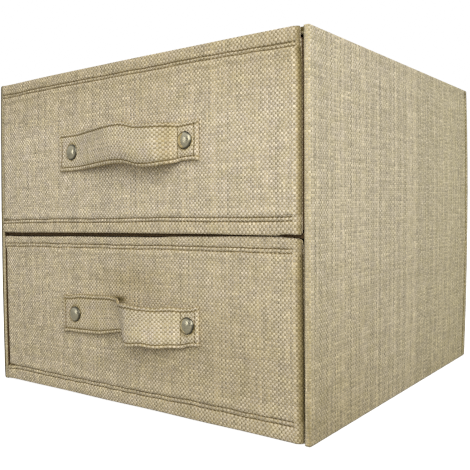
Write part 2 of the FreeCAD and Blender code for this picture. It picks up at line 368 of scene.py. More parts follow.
def linen(name, light, dark, contrast=1.0, seed=0.0, band=(0.10, 0.0), mid=0.0, yarn=0.16, cells=0.03, weft_vary=(0.90, 1.06),
          blue=0.0, streaks=(0.04, 0.03), blot=0.0, tints=(0.90, 1.07), aged=0.0, slub=(0.87, 1.08), uneven=0.0, crisp=None):
    """Plain weave of thick uneven threads: darker ones run up, lighter ones run across."""
    g = Nodes(name)
    vec, u, v = g.uv()
    wob = g.math("SUBTRACT", g.noise(vec, 60.0, 2.0), 0.5)
    wob2 = g.math("SUBTRACT", g.noise(g.xyz(v, u, 3.7), 60.0, 2.0), 0.5)
    fine = g.math("SUBTRACT", g.noise(g.xyz(v, u, 1.9), 260.0, 1.0), 0.5)
    U = g.sum(g.mul(u, 1.0 / PITCH), g.mul(wob, 0.8), g.mul(fine, 0.25), 1000.25 + seed)
    V = g.sum(g.mul(v, 1.0 / PITCH), g.mul(wob2, 0.8), g.mul(fine, -0.25), 1000.5 + seed)
    i, j = g.math("FLOOR", U), g.math("FLOOR", V)
    fu, fv = g.math("SUBTRACT", g.math("FRACT", U), 0.5), g.math("SUBTRACT", g.math("FRACT", V), 0.5)
    sign = g.math("SUBTRACT", 1.0, g.mul(g.math("FLOORED_MODULO", g.sum(i, j), 2.0), 2.0))
    ri, rj = g.white(g.sum(i, 17.3)), g.white(g.sum(g.mul(j, 1.31), 71.9))
    cell = g.new("ShaderNodeTexWhiteNoise", noise_dimensions="2D")
    g.put(cell.inputs["Vector"], g.xyz(i, j))
    cell = cell.outputs["Value"]
    # each thread swells and thins along its length
    ni = g.noise(g.xyz(g.mul(i, 5.17), g.mul(V, 0.13), 0.0), 1.0, 3.0, 0.65)
    nj = g.noise(g.xyz(g.mul(U, 0.13), g.mul(j, 5.17), 9.0), 1.0, 3.0, 0.65)
    wi = g.sum(0.62, g.mul(ri, 0.24), g.mul(ni, 0.44))
    wj = g.sum(0.74, g.mul(rj, 0.20), g.mul(nj, 0.42))

    def across(f, w):
        q = g.math("DIVIDE", g.mul(f, 2.0), w)
        return g.math("MAXIMUM", g.mul(g.math("SUBTRACT", 1.0, g.mul(q, q)), 0.5), -0.7)

    crimp = g.span(cell, 0.0, 1.0, 0.32, 0.40)
    hw = g.sum(g.mul(sign, g.math("COSINE", g.mul(fv, math.pi)), crimp), across(fu, wi))
    hf = g.sum(g.mul(sign, g.math("COSINE", g.mul(fu, math.pi)), g.mul(crimp, -1.0)), across(fv, wj))
    over = g.span(g.math("SUBTRACT", hw, hf), -0.07, 0.07, 0.0, 1.0, True)
    high = g.math("MAXIMUM", g.math("SMOOTH_MAX", hw, hf, 0.08), -0.6)
    fibre = g.noise(vec, 5200.0, 2.0, 0.6)
    # colour: each thread has its own, and changes along its length
    k0, k1 = 1.0 - yarn, 1.0 + yarn
    low = (dark[0] * k0, dark[1] * k0, dark[2] * k0 * (1.0 - blue), 1.0)
    top = (dark[0] * k1, dark[1] * k1, dark[2] * k1 * (1.0 + blue), 1.0)
    warp = g.times(g.mix(ri, low, top), g.span(ni, 0.3, 0.7, 0.84, 1.18))
    weft = g.times(light, g.mul(g.span(rj, 0.0, 1.0, *weft_vary), g.span(nj, 0.3, 0.7, *slub)))
    colour = g.mix(over, weft, warp)
    # painted shade: the colour darkens where the weave lies low, in the holes between threads
    hole_shade = g.span(high, -0.25, 0.42, 1.0 - 0.50 * contrast, 1.0, True)
    bands = g.span(g.noise(g.xyz(g.mul(i, 0.37), g.mul(V, 0.022), 14.0), 1.0, 3.0, 0.7), 0.3, 0.7, 1.0 - band[0], 1.0 + band[0])
    bands = g.mul(bands, g.span(g.noise(g.xyz(g.mul(U, 0.022), g.mul(j, 0.37), 24.0), 1.0, 3.0, 0.7), 0.3, 0.7, 1.0 - band[1], 1.0 + band[1]))
    if mid:
        bands = g.mul(bands, g.span(g.noise(g.xyz(g.mul(u, 230.0), g.mul(v, 34.0), 3.0), 1.0, 1.0), 0.3, 0.7, 1.0 - mid, 1.0 + mid),
                      g.span(g.noise(g.xyz(g.mul(u, 34.0), g.mul(v, 480.0), 5.0), 1.0, 1.0), 0.3, 0.7, 1.0 - 0.5 * mid, 1.0 + 0.5 * mid))
    slub_i = g.span(g.noise(g.xyz(g.mul(i, 3.1), g.mul(V, 0.033), 4.0), 1.0, 2.0), 0.60, 0.78, 1.0, 0.86)
    slub_j = g.span(g.noise(g.xyz(g.mul(U, 0.033), g.mul(j, 3.1), 8.0), 1.0, 2.0), 0.60, 0.76, 1.0, 1.10)
    patchy = g.span(g.noise(vec, 45.0, 4.0, 0.6), 0.3, 0.7, 0.975, 1.025)
    streak = g.mul(g.span(g.noise(g.xyz(g.mul(u, 520.0), g.mul(v, 60.0), 2.0), 1.0, 2.0), 0.3, 0.7, 1.0 - streaks[0], 1.0 + streaks[0]),
                   g.span(g.noise(g.xyz(g.mul(u, 60.0), g.mul(v, 520.0), 6.0), 1.0, 2.0), 0.3, 0.7, 1.0 - streaks[1], 1.0 + streaks[1]))
    if blot:
        streak = g.mul(streak, g.span(g.noise(g.xyz(u, v, 0.4), 430.0, 1.0), 0.3, 0.7, 1.0 - blot, 1.0 + blot))
    grain = g.span(fibre, 0.25, 0.75, 0.96, 1.04)
    shade = g.math("SUBTRACT", 1.0, g.math("MINIMUM", g.mul(g.attribute("shade"), 0.60), 0.80))
    spread = g.span(cell, 0.0, 1.0, 1.0 - cells, 1.0 + cells)
    if uneven:
        # the yarn is more uneven towards one side
        spread = g.sum(1.0, g.mul(g.math("SUBTRACT", spread, 1.0), g.span(u, -0.15, 0.10, 1.0 + uneven, 1.0)))
    relief = g.mul(hole_shade, spread)
    if crisp:
        # the painted hole shade and the cell tone stand out more towards one side
        relief = g.mul(g.math("POWER", g.mul(relief, 1.0 / 0.94), g.span(u, -0.15, 0.10, *crisp)), 0.94)
    colour = g.times(colour, g.mul(relief, bands, slub_i, slub_j, patchy, streak, grain))
    # patches of yellower and of greyer, pinker yarn
    tint = g.noise(g.xyz(g.mul(v, 1.4), u, 5.0), 85.0, 3.0, 0.6)
    yellow, pink = g.new("ShaderNodeVectorMath", operation="MULTIPLY"), g.new("ShaderNodeVectorMath", operation="MULTIPLY")
    g.put(yellow.inputs[0], colour)
    yellow.inputs[1].default_value = (1.00, 0.99, tints[0])
    g.put(pink.inputs[0], colour)
    pink.inputs[1].default_value = (1.01, 1.0, tints[1])
    colour = g.mix(g.span(tint, 0.34, 0.66, 0.0, 1.0), yellow.outputs[0], pink.outputs[0])
    if aged:
        # yellower towards one side
        old = g.new("ShaderNodeVectorMath", operation="MULTIPLY")
        g.put(old.inputs[0], colour)
        old.inputs[1].default_value = (0.995, 1.0, 1.0 - aged)
        colour = g.mix(g.span(g.sum(u, g.mul(tint, 0.05)), -0.04, 0.17, 0.0, 1.0, True), colour, old.outputs[0])
    # the cloth is darker and browner where the shade attribute is high: painted shade in grooves, folds, gaps, along
    # edges and low down, and the thread knots
    deep = g.new("ShaderNodeVectorMath", operation="MULTIPLY")
    g.put(deep.inputs[0], colour)
    deep.inputs[1].default_value = (0.98, 0.86, 0.44)
    shade_tint = g.math("MINIMUM", g.mul(g.attribute("shade"), 0.8), 1.0)
    colour = g.times(g.mix(shade_tint, colour, deep.outputs[0]), shade)
    height = g.sum(high, g.mul(fibre, 0.10), g.mul(g.noise(vec, 900.0, 2.0), 0.25))
    g.skin_set(Base_Color=colour, Roughness=g.span(high, -0.4, 0.8, 0.97, 0.86), Normal=g.bump(height, 0.00022))
    g.skin_set(Specular_IOR_Level=0.22, Sheen_Weight=0.10, Sheen_Roughness=0.45)
    return g.mat


def non_woven(name, tone):
    """Thin pressed felt with a lattice of small welded dots."""
    g = Nodes(name)
    vec, u, v = g.uv()
    a = g.math("SUBTRACT", g.math("FRACT", g.sum(g.mul(g.sum(u, v), 520.0), 500.0)), 0.5)
    b = g.math("SUBTRACT", g.math("FRACT", g.sum(g.mul(g.math("SUBTRACT", u, v), 520.0), 500.0)), 0.5)
    r = g.math("SQRT", g.sum(g.mul(a, a), g.mul(b, b)))
    dot = g.span(r, 0.16, 0.30, 0.0, 1.0, True)
    fibre = g.noise(g.xyz(g.mul(u, 1.0), g.mul(v, 0.35), 0.0), 1500.0, 4.0, 0.65)
    cloud = g.noise(vec, 35.0, 3.0, 0.6)
    colour = g.times(tone, g.mul(g.span(dot, 0.0, 1.0, 0.86, 1.0), g.span(fibre, 0.3, 0.7, 0.90, 1.08), g.span(cloud, 0.3, 0.7, 0.95, 1.04)))
    colour = g.times(colour, g.math("SUBTRACT", 1.0, g.math("MINIMUM", g.mul(g.attribute("shade"), 0.4), 0.7)))
    height = g.sum(g.mul(dot, 0.6), g.mul(fibre, 0.5), g.mul(cloud, 1.0))
    g.skin_set(Base_Color=colour, Roughness=g.span(fibre, 0.2, 0.8, 0.78, 0.95), Normal=g.bump(height, 0.00016))
    g.skin_set(Specular_IOR_Level=0.3, Sheen_Weight=0.08)
    return g.mat


def cardboard(name, tone):
    g = Nodes(name)
    vec, u, v = g.uv()
    fibre = g.noise(g.xyz(g.mul(u, 1.0), g.mul(v, 0.3), 0.0), 900.0, 4.0, 0.7)
    cloud = g.noise(vec, 20.0, 3.0, 0.6)
    g.skin_set(Base_Color=g.times(tone, g.mul(g.span(fibre, 0.3, 0.7, 0.85, 1.1), g.span(cloud, 0.3, 0.7, 0.93, 1.05))),
               Roughness=g.span(fibre, 0.2, 0.8, 0.8, 0.95), Normal=g.bump(fibre, 0.0001))
    g.skin_set(Specular_IOR_Level=0.3)
    return g.mat


def nickel(name):
    """Bright plated steel with fine scratches; the brim carries painted shade and a painted dark reflection."""
    g = Nodes(name)
    where = g.new("ShaderNodeTexCoord").outputs["Object"]
    cloud = g.noise(where, 260.0, 4.0, 0.6)
    fine = g.noise(where, 2600.0, 3.0, 0.6)
    stretch = g.new("ShaderNodeMapping")
    stretch.inputs["Scale"].default_value = (4500.0, 4500.0, 300.0)
    g.link(where, stretch.inputs["Vector"])
    scratch = g.noise(stretch.outputs[0], 1.0, 2.0, 0.7)
    colour = g.mix(g.span(cloud, 0.35, 0.7, 0.0, 1.0), (0.80, 0.75, 0.56, 1.0), (0.62, 0.575, 0.40, 1.0))
    # painted shade and painted dark reflection where the shade attribute marks the brim
    colour = g.times(colour, g.math("SUBTRACT", 1.0, g.mul(g.attribute("shade"), 0.82)))
    g.skin_set(Base_Color=colour, Roughness=g.sum(g.span(cloud, 0.3, 0.7, 0.18, 0.30), g.mul(fine, 0.05)),
               Normal=g.bump(g.sum(g.mul(scratch, 0.5), fine), 0.00001))
    g.skin_set(Metallic=1.0, Specular_IOR_Level=0.5)
    return g.mat


def thread(name, tone):
    """Twisted sewing thread: the twist runs round it as fine slanting ridges."""
    g = Nodes(name)
    vec, u, v = g.uv()
    twist = g.math("SINE", g.sum(g.mul(u, 2 * math.pi / 0.0006), g.mul(v, 2 * math.pi / 0.002)))
    vary = g.noise(vec, 300.0, 2.0)
    g.skin_set(Base_Color=g.times(tone, g.mul(g.span(twist, -1.0, 1.0, 0.72, 1.1), g.span(vary, 0.3, 0.7, 0.88, 1.1))),
               Roughness=g.span(vary, 0.3, 0.7, 0.6, 0.75), Normal=g.bump(twist, 0.00006))
    g.skin_set(Specular_IOR_Level=0.35, Sheen_Weight=0.1)
    return g.mat


LIGHT, DARK = lin((229, 218, 193)), lin((183, 169, 136))
CLOTH = linen("linen_weave", LIGHT, DARK, 1.05, 0.0, (0.02, 0.0), 0.045, 0.20, 0.065, (0.94, 1.04), streaks=(0.055, 0.06), blot=0.02,
              tints=(0.93, 1.05), slub=(0.78, 1.17), uneven=0.8, crisp=(1.9, 1.0))
CLOTH_CASE = linen("linen_weave_case", lin((220, 210, 185)), lin((199, 187, 150)), 1.05, 300.0, (0.0, 0.0), 0.02, 0.34, 0.10, blue=0.08,
                   streaks=(0.11, 0.08), blot=0.03, tints=(0.94, 1.04), aged=0.08, slub=(0.80, 1.15), crisp=(1.1, 1.6))
CLOTH_STRAP = linen("linen_weave_strap", lin((234, 222, 195)), lin((183, 168, 133)), 0.9, 40.0, (0.04, 0.03), 0.03)
FELT = non_woven("lining_felt", lin((108, 86, 56)))
CARD = cardboard("grey_board", lin((150, 128, 98)))
PLATE = nickel("plated_steel")
THREAD = thread("sewing_thread", lin((142, 123, 80)))


# ------------------------------------------------------------------ covered panels of the case
def rounded(s, t, box, ra, rb, quarter=math.pi / 2):
    """Lines s, t measured along the cloth become places a, b in the rectangle box, and the drop share at its edge.
    ra = (low side, high side), rb likewise."""
    (a0, a1), (b0, b1) = box

    def one(x, lo, hi, r):
        low, high = lo + r[0], hi - r[1]
        p = np.where(x < low, -np.sin(np.clip((low - x) / r[0], 0, quarter)), np.where(x > high, np.sin(np.clip((x - high) / r[1], 0, quarter)), 0.0))
        return p, np.clip(x, low, high), np.where(x < low, r[0], r[1])

    pa, ca, rra = one(s, a0, a1, ra)
    pb, cb, rrb = one(t, b0, b1, rb)
    qa, qb = pa * np.sqrt(1 - pb * pb / 2), pb * np.sqrt(1 - pa * pa / 2)
    return ca + rra * qa, cb + rrb * qb, qa, qb


def ends(lo, hi, r):
    """First and last line of a rounded direction, measured along the cloth, and the lines of the two round edges."""
    n = 5
    ang = np.linspace(1, 0, n) * math.pi / 2
    return lo + r - r * ang, hi - r + r * ang[::-1]


def cover(name, node, body, box, place, thick=4.5, cloth=0.9, r=1.8, seams=(), seed=1, step=5.0, wave=0.28, drawer=False,
          upright=True, fore=None):
    """Cloth over one board: outer face with a round edge, and inside it the room for board and lining."""
    (a0, a1), (b0, b1) = box
    lo_s, hi_s = ends(a0, a1, r)
    lo_t, hi_t = ends(b0, b1, r)

    def lines(lo, hi, x0, x1, extra=()):
        stops = [(lo[-1], 0.6), (x0 + 4.0, step), (x1 - 4.0, 0.6), (hi[0], None)]
        body_lines = spaced(stops)
        more = [lo[:-1], body_lines, hi[1:]]
        for c in extra:
            more.append(np.arange(c - 4.0, c + 4.01, 0.4))
        out = np.unique(np.round(np.concatenate(more), 4))
        keep = np.concatenate([[True], np.diff(out) > 0.02])
        return out[keep]

    # round-edge lines that carry the step of the inner room
    s = lines(lo_s, hi_s, a0, a1, [c for k, c in seams if k == "a"])
    t = lines(lo_t, hi_t, b0, b1, [c for k, c in seams if k == "b"])

    def front(S, T):
        a, b, qa, qb = rounded(S, T, box, (r, r), (r, r))
        q = np.clip(qa * qa + qb * qb, 0, 1)
        d = r * (1 - np.sqrt(1 - q))
        edge = np.minimum(np.minimum(a - a0, a1 - a), np.minimum(b - b0, b1 - b))
        calm = smooth(1.0, 14.0, edge)
        # the cloth stands off a little just inside the edge, and lies in soft waves over the board
        d = d + calm * wave * (0.5 * ripple(a, b, seed, 120.0) + 0.25 * ripple(a, b, seed + 9, 34.0)) + 0.1 * calm
        d = d + 0.10 * hump(edge, 0.0, 3.0) * ripple(a, b, seed + 5, 11.0)
        shade = 0.0 * d
        for k, c in seams:
            x, y = (a, b) if k == "a" else (b, a)
            c2 = c + 0.008 * (y - 110.0) + 0.3 * ripple(y, 0 * y, seed + 3, 70.0)
            gone = smooth(0.0, 6.0, np.minimum(y - (b0 if k == "a" else a0), (b1 if k == "a" else a1) - y))
            d = d + gone * (0.65 * hump(x, c2, 0.80) - 0.25 * hump(x, c2 - 2.0, 1.1) - 0.35 * hump(x, c2 + 2.3, 1.3))
            # painted shade along the seam groove
            shade = shade + 1.5 * gone * hump(x, c2, 0.95)
            # the thread is knotted off at the upper end
            shade = shade + 1.6 * hump(x, c2 + 0.3, 1.5) * hump(y, (b1 if k == "a" else a1) - 4.0, 2.2)
        d = np.where(edge > 2.6, np.minimum(d, 0.78), d)
        # painted shade at the very edge, where the cloth turns in
        shade = shade + 0.25 * hump(edge, 0.0, 0.7)
        # painted shade: the upright panels darker towards the bottom, most at the foot
        if upright:
            shade = shade + 0.15 * (1 - smooth(0.0, 190.0, b)) + 0.08 * hump(b, 0.0, 22.0)
        # painted shade: the side panels darker low down towards the front
        if seams:
            shade = shade + 0.17 * (1 - smooth(10.0, 130.0, b)) * (1 - smooth(-125.0, -10.0, a))
        if fore is not None:
            shade = shade + fore(a, b)
        return a, b, d, shade

    def back(S, T):
        a, b, qa, qb = rounded(S, T, box, (r, r), (r, r))
        deep_in = (a > a0 + cloth + 0.02) & (a < a1 - cloth - 0.02) & (b > b0 + cloth + 0.02) & (b < b1 - cloth - 0.02)
        edge = np.minimum(np.minimum(a - a0, a1 - a), np.minimum(b - b0, b1 - b))
        roll = np.clip((1.25 - edge) / 1.25, 0.0, 1.0)
        d = np.where(deep_in & (edge > cloth + 0.42), cloth, thick - 1.25 * (1 - np.sqrt(1 - roll * roll)))
        # painted shade on the inner face
        return a, b, d, 0.3 * np.ones_like(a)

    m = Sewn()
    slab(m, s, t, front, back, place, rows=((0.35, 0.5), (0.7, 1.0)))
    ob = m.make(name, body, "linen", CLOTH_CASE, warp=lambda p: lean(p, drawer))
    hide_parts(node)
    return ob


def thin(name, node, body, box, place, depth, mat, slot, step=12.0, seed=2, wave=0.0, drawer=False, r=0.15):
    """A plain thin layer between two depths: lining or board."""
    (a0, a1), (b0, b1) = box
    d0, d1 = depth
    s = spaced([(a0, 0.5), (a0 + 1.0, step), (a1 - 1.0, 0.5), (a1, None)])
    t = spaced([(b0, 0.5), (b0 + 1.0, step), (b1 - 1.0, 0.5), (b1, None)])

    # both faces carry painted shade along their edges
    def front(S, T):
        edge = np.minimum(np.minimum(S - a0, a1 - S), np.minimum(T - b0, b1 - T))
        calm = smooth(0.0, 8.0, edge)
        return S, T, d0 + r * hump(edge, 0.0, 0.3) + 0.0 * S, 0.35 * hump(edge, 0.0, 2.5)

    def back(S, T):
        edge = np.minimum(np.minimum(S - a0, a1 - S), np.minimum(T - b0, b1 - T))
        calm = smooth(0.0, 10.0, edge)
        return S, T, d1 - r * hump(edge, 0.0, 0.3) + calm * wave * ripple(S, T, seed, 60.0), 0.35 * hump(edge, 0.0, 2.5)

    m = Sewn()
    slab(m, s, t, front, back, place, rows=())
    ob = m.make(name, body, slot, mat, warp=lambda p: lean(p, drawer), sharp=35.0)
    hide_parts(node)
    return ob


def stack(*v):
    return np.stack(np.broadcast_arrays(*v), -1)


SIDE = {
    "right": lambda a, b, d: stack(150.0 - d, a, b),
    "left": lambda a, b, d: stack(-150.0 + d, a, b),
    "back": lambda a, b, d: stack(a, 150.0 - d, b),
    "top": lambda a, b, d: stack(a, b, 250.0 - d),
    "bottom": lambda a, b, d: stack(a, b, d),
}
BOXES = {
    "right": ((-150.0, 150.0), (0.0, 250.0)),
    "left": ((-150.0, 150.0), (0.0, 250.0)),
    "back": ((-145.5, 145.5), (0.0, 250.0)),
    "top": ((-145.5, 145.5), (-146.2, 145.5)),
    "bottom": ((-145.5, 145.5), (-146.2, 145.5)),
}
SEAMS = {"right": (("a", 142.2),), "left": (("a", 142.2),), "back": (), "top": (), "bottom": ()}
# painted shade on the front edges: the left panel's front edge, and the right end of the top panel's front edge, which
# shows in the gap
FRONT_EDGE_SHADE = {
    "left": lambda a, b: 1.7 * (1 - smooth(-149.4, -147.4, a)),
    "top": lambda a, b: 5.0 * smooth(136.0, 139.5, a) * (1 - smooth(-145.6, -144.0, b)),
}

for n, side in enumerate(("right", "left", "back", "top", "bottom")):
    (a0, a1), (b0, b1) = BOXES[side]
    cover("case_%s_cover_fabric" % side, "case_%s_cover" % side, "case", BOXES[side], SIDE[side], seams=SEAMS[side],
          seed=11 + 7 * n, r=1.8 if side in ("right", "left") else 1.3, upright=side in ("right", "left", "back"),
          fore=FRONT_EDGE_SHADE.get(side))
    inner = ((a0 + 1.3, a1 - 1.3), (b0 + 1.3, b1 - 1.3))
    thin("case_%s_board_shaped" % side, "case_%s_board" % side, "case", inner, SIDE[side], (0.97, 3.84), CARD, "board")
    thin("case_%s_lining_felt" % side, "case_%s_lining" % side, "case", inner, SIDE[side], (3.92, 4.5), FELT, "lining",
         step=6.0, seed=30 + n, wave=0.10)


# ------------------------------------------------------------------ shelf
def wrapped_shelf():
    m = Sewn()
    z0, z1 = 123.8, 128.0
    r = 1.2
    box = ((-145.5, 145.5), (-146.2, 145.5))
    lo_s, hi_s = ends(-145.5, 145.5, r)
    lo_t, hi_t = ends(-146.2, 145.5, r)
    s = np.concatenate([lo_s, spaced([(lo_s[-1], 6.0), (hi_s[0], None)])[1:], hi_s[1:]])
    t = np.concatenate([lo_t, spaced([(lo_t[-1], 6.0), (hi_t[0], None)])[1:], hi_t[1:]])

    def face(sign):
        def side(S, T):
            a, b, qa, qb = rounded(S, T, box, (r, r), (r, r))
            q = np.clip(qa * qa + qb * qb, 0, 1)
            drop = r * (1 - np.sqrt(1 - q))
            edge = np.minimum(np.minimum(a + 145.5, 145.5 - a), np.minimum(b + 146.2, 145.5 - b))
            soft = smooth(0.0, 10.0, edge) * 0.10 * (1 + ripple(a, b, 60 + sign, 70.0)) * 0.5
            d = drop + soft if sign > 0 else (z1 - z0) - drop - soft
            # painted shade along the edges
            return a, b, d, 0.3 * hump(edge, 0, 3.0)
        return side

    slab(m, s, t, face(1), face(-1), lambda a, b, d: stack(a, b, z1 - d), rows=((0.5, 0.5),))
    # the room for the board
    s = spaced([(-144.9, 12.0), (144.9, None)])
    t = spaced([(-145.6, 12.0), (144.9, None)])
    slab(m, s, t, lambda S, T: (S, T, 3.6 + 0 * S, 0 * S), lambda S, T: (S, T, 0.6 + 0 * S, 0 * S), lambda a, b, d: stack(a, b, z1 - d), rows=())
    ob = m.make("case_shelf_cover_felt", "case", "lining", FELT, warp=lambda p: lean(p, True))
    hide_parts("case_shelf_cover")
    thin("case_shelf_board_shaped", "case_shelf_board", "case", ((-144.8, 144.8), (-145.5, 144.8)), lambda a, b, d: stack(a, b, z1 - d),
         (0.65, 3.55), CARD, "board", drawer=True)


wrapped_shelf()


# ------------------------------------------------------------------ drawers
DRAWERS = {
    "upper": dict(face=-152.3, f=(127.4, 249.4), b=(128.5, 243.0), low_rows=(7.3, 9.9), top_rows=(8.4, 10.8), seed=101,
                  pull=(1.4, 1.2), flare=(1.3, 0.8), fold_low=1.0, ridge=140.0, shade_spots=(), low_edge=[(-144.3, -.3), (-120, -.5), (24, -.8), (75, -.9), (96, -1.25), (126, -1.3), (134, -.5), (139, -.6), (144.3, -1.1)],
                  top_edge=[(-144.3, -.4), (144.3, .4)], right_in=[(127.0, .7), (150, .7), (225, .7), (240, 1.2), (249.4, 1.3)], right_dark=(0.85, 3.0), left_dark=(1.4, 2.6), round=4.2),
    "lower": dict(face=-150.0, f=(0.6, 125.2), b=(5.0, 121.4), low_rows=(9.3, 12.3), top_rows=(7.3, 9.9), seed=201,
                  pull=(1.15, 0.5), flare=(2.2, 1.6), fold_low=2.0, ridge=139.0, shade_spots=((-10.0, 78.0, 7.0, 2.4, 1.5), (-2.0, 93.0, 34.0, 9.0, 0.26), (70.0, 48.0, 70.0, 45.0, 0.14)), low_edge=[(-144.3, .4), (144.3, -.4)],
                  top_edge=[(-144.3, -1.0), (-130, -1.5), (24, -1.4), (45, -.6), (75, -.4), (96, .05), (127, .15), (133, -.4), (138, -.6), (141.5, -1.0), (144.3, -1.9)],
                  right_in=[(0.6, .5), (50, .7), (70, 1.1), (125.2, 1.3)], right_dark=(0.85, 5.0), left_dark=(0.75, 2.2), round=5.8),
}


def front_shape(D):
    """The sewn face of a drawer front as functions over (a, b)."""
    f0, f1 = D["f"]
    seed = D["seed"]
    half = 144.3
    ra, rb = (3.0, D["round"]), (1.1, 1.1)
    box = ((-half, half), (f0, f1))

    def rows(a, which):
        base = D["low_rows"] if which == "low" else D["top_rows"]
        k = 0 if which == "low" else 50
        wav = 0.32 * ripple(a, 0 * a, seed + k, 80.0) + 0.20 * ripple(a, 0 * a, seed + k + 1, 17.0)
        slope = (0.35 if D["f"][0] < 50 and which == "low" else 0.0) * a / 144.0
        if D["f"][0] > 50 and which == "top":
            slope = 0.6 * smooth(90.0, 144.0, a)
        return base[0] + wav + slope, base[1] + wav * 0.9 + slope + 0.14 * ripple(a, 0 * a, seed + k + 2, 24.0)

    def hem_edge(a, which):
        """How far up the hem's edge stands from the box: the two drawers' hems draw together to the right."""
        return 0.18 * ripple(a, 0 * a, seed + (3 if which == "low" else 4), 95.0) * smooth(-146, -120, a) + curve(D[which + "_edge"], a)

    def profile(a, x, which):
        r1, r2 = rows(a, which)
        stop = 143.2 if D["f"][0] > 50 and which == "top" else D["ridge"]
        stitch = 1.0 - smooth(stop - 1.6, stop - 0.2, a)
        left_fade = smooth(-143.6, -142.4, a)
        k = stitch * left_fade
        soft = 1.0 - smooth(r2 - 0.7, r2 + 1.7, x)
        d = 0.72 * soft
        dimple = 1.0 + 0.30 * np.cos(2 * math.pi * a / 3.2)
        d = d + k * (0.95 * hump(x, r1, 0.46) + 0.80 * hump(x, r2, 0.42)) * dimple
        d = d - k * 0.20 * hump(x, (r1 + r2) / 2, 0.7)
        d = d - 0.42 * hump(x, r2 + 2.9, 1.9) * (0.8 + 0.35 * ripple(a, 0 * a, seed + 7, 13.0))
        puff = np.clip(x / r1, 0, 1)
        d = d - 0.45 * np.sin(math.pi * puff) * (0.75 + 0.4 * ripple(a, 0 * a, seed + 8, 17.0))
        d = d + 0.16 * ripple(a, x, seed + 12, 7.0) * hump(x, r2 + 0.8, 3.6)
        # painted shade in the stitch grooves
        shade = k * (0.74 * hump(x, r1, 0.31) + 0.76 * hump(x, r2, 0.31)) * (0.80 + 0.25 * np.cos(2 * math.pi * a / 3.2) + 0.3 * ripple(a, 0 * a, seed + 9, 12.0))
        return d, shade, soft

    def face(S, T):
        a, b, qa, qb = rounded(S, T, box, ra, rb)
        q = np.clip(qa * qa + qb * qb, 0, 1)
        xl, xt = b - f0, f1 - b
        dl, sl, hl = profile(a, xl, "low")
        dt, st, ht = profile(a, xt, "top")
        hem = np.maximum(hl, ht)
        amp_side = np.where(a > 0, 3.9, 3.0) * (1 - hem) + np.where(a > 0, 2.1, 1.3) * hem
        share = 1 - np.sqrt(1 - q)
        amp = (qa * qa * amp_side + qb * qb * 1.15) / np.maximum(qa * qa + qb * qb, 1e-9)
        d = dl + dt + amp * share
        edge_a = np.minimum(a + half, half - a)
        calm = smooth(0.0, 20.0, edge_a) * (1 - hem)
        d = d + calm * 0.30 * ripple(a, b, seed + 20, 95.0) + calm * 0.10 * ripple(a, b, seed + 21, 28.0) - 0.05
        # soft standing fold where the cloth turns to the right-hand edge
        d = d - 0.42 * hump(a, D["ridge"] + 0.25 * ripple(b, 0 * b, seed + 22, 40.0), 1.2) * (1 - 0.4 * hem)
        # deep fold at the lower left corner, and the hem ends that stand forward there
        near_left = hump(a, -141.0, 5.5)
        r1, r2 = rows(a, "low")
        d = d + D["fold_low"] * near_left * hump(xl, r2 + 0.3, 1.1) * (1 - 0.0 * hem)
        d = d - (D["flare"][0] * hl + D["flare"][1] * ht) * hump(a, -144.3, 6.0) * (1 - share)
        # painted shade: the lower drawer a little darker all over and more towards the bottom; the upper drawer darker
        # towards its top and along its lower hem
        broad_shade = (0.10 + 0.06 * (1 - smooth(0.0, 90.0, b))) if f0 < 50 else 0.24 * smooth(196.0, 244.0, b) + 0.16 * (1 - smooth(5.5, 11.0, b - f0))
        # painted shade spots: a dark notch where the lower strap's top edge dives, a broad shadow above that strap, and
        # a broad darker patch on the right half
        for ca, cb, wa, wb, amount in D["shade_spots"]:
            broad_shade = broad_shade + amount * hump(a, ca, wa) * hump(b, cb, wb)
        # painted shade: the stitch rows, the deep fold at the lower left, the rounded edges, and bands along the right
        # and left ends by the gaps
        shade = broad_shade + sl + st + 0.55 * near_left * hump(xl, r2 + 0.3, 1.3) * min(1.0, D["fold_low"]) + 0.12 * share + np.where(a > 0, D["right_dark"][0], D["left_dark"][0]) * smooth(0.0, 1.0, 1 - edge_a / np.where(a > 0, D["right_dark"][1], D["left_dark"][1])) * (1 - 0.35 * hem)
        # the side is drawn in on the left, least at the hems
        mid = smooth(rows(a, "low")[1] - 1.5, rows(a, "low")[1] + 5.5, xl) * smooth(rows(a, "top")[1] - 1.5, rows(a, "top")[1] + 4.0, xt)
        pull = (D["pull"][0] + (D["pull"][1] - D["pull"][0]) * smooth(35.0, 95.0, xl)) * mid + 0.25 * ripple(b, 0 * b, seed + 23, 34.0)
        a2 = a + pull * (1 - smooth(-144.3, -128.0, a))
        a2 = a2 - (curve(D["right_in"], b) + 0.15 * ripple(b, 0 * b, seed + 24, 45.0)) * smooth(132.0, 144.3, a)
        b2 = b + hem_edge(a, "low") * (1 - smooth(0.0, 7.0, xl)) + hem_edge(a, "top") * (1 - smooth(0.0, 7.0, xt))
        return a2, b2, d, shade

    return face, rows, box, ra, rb, hem_edge


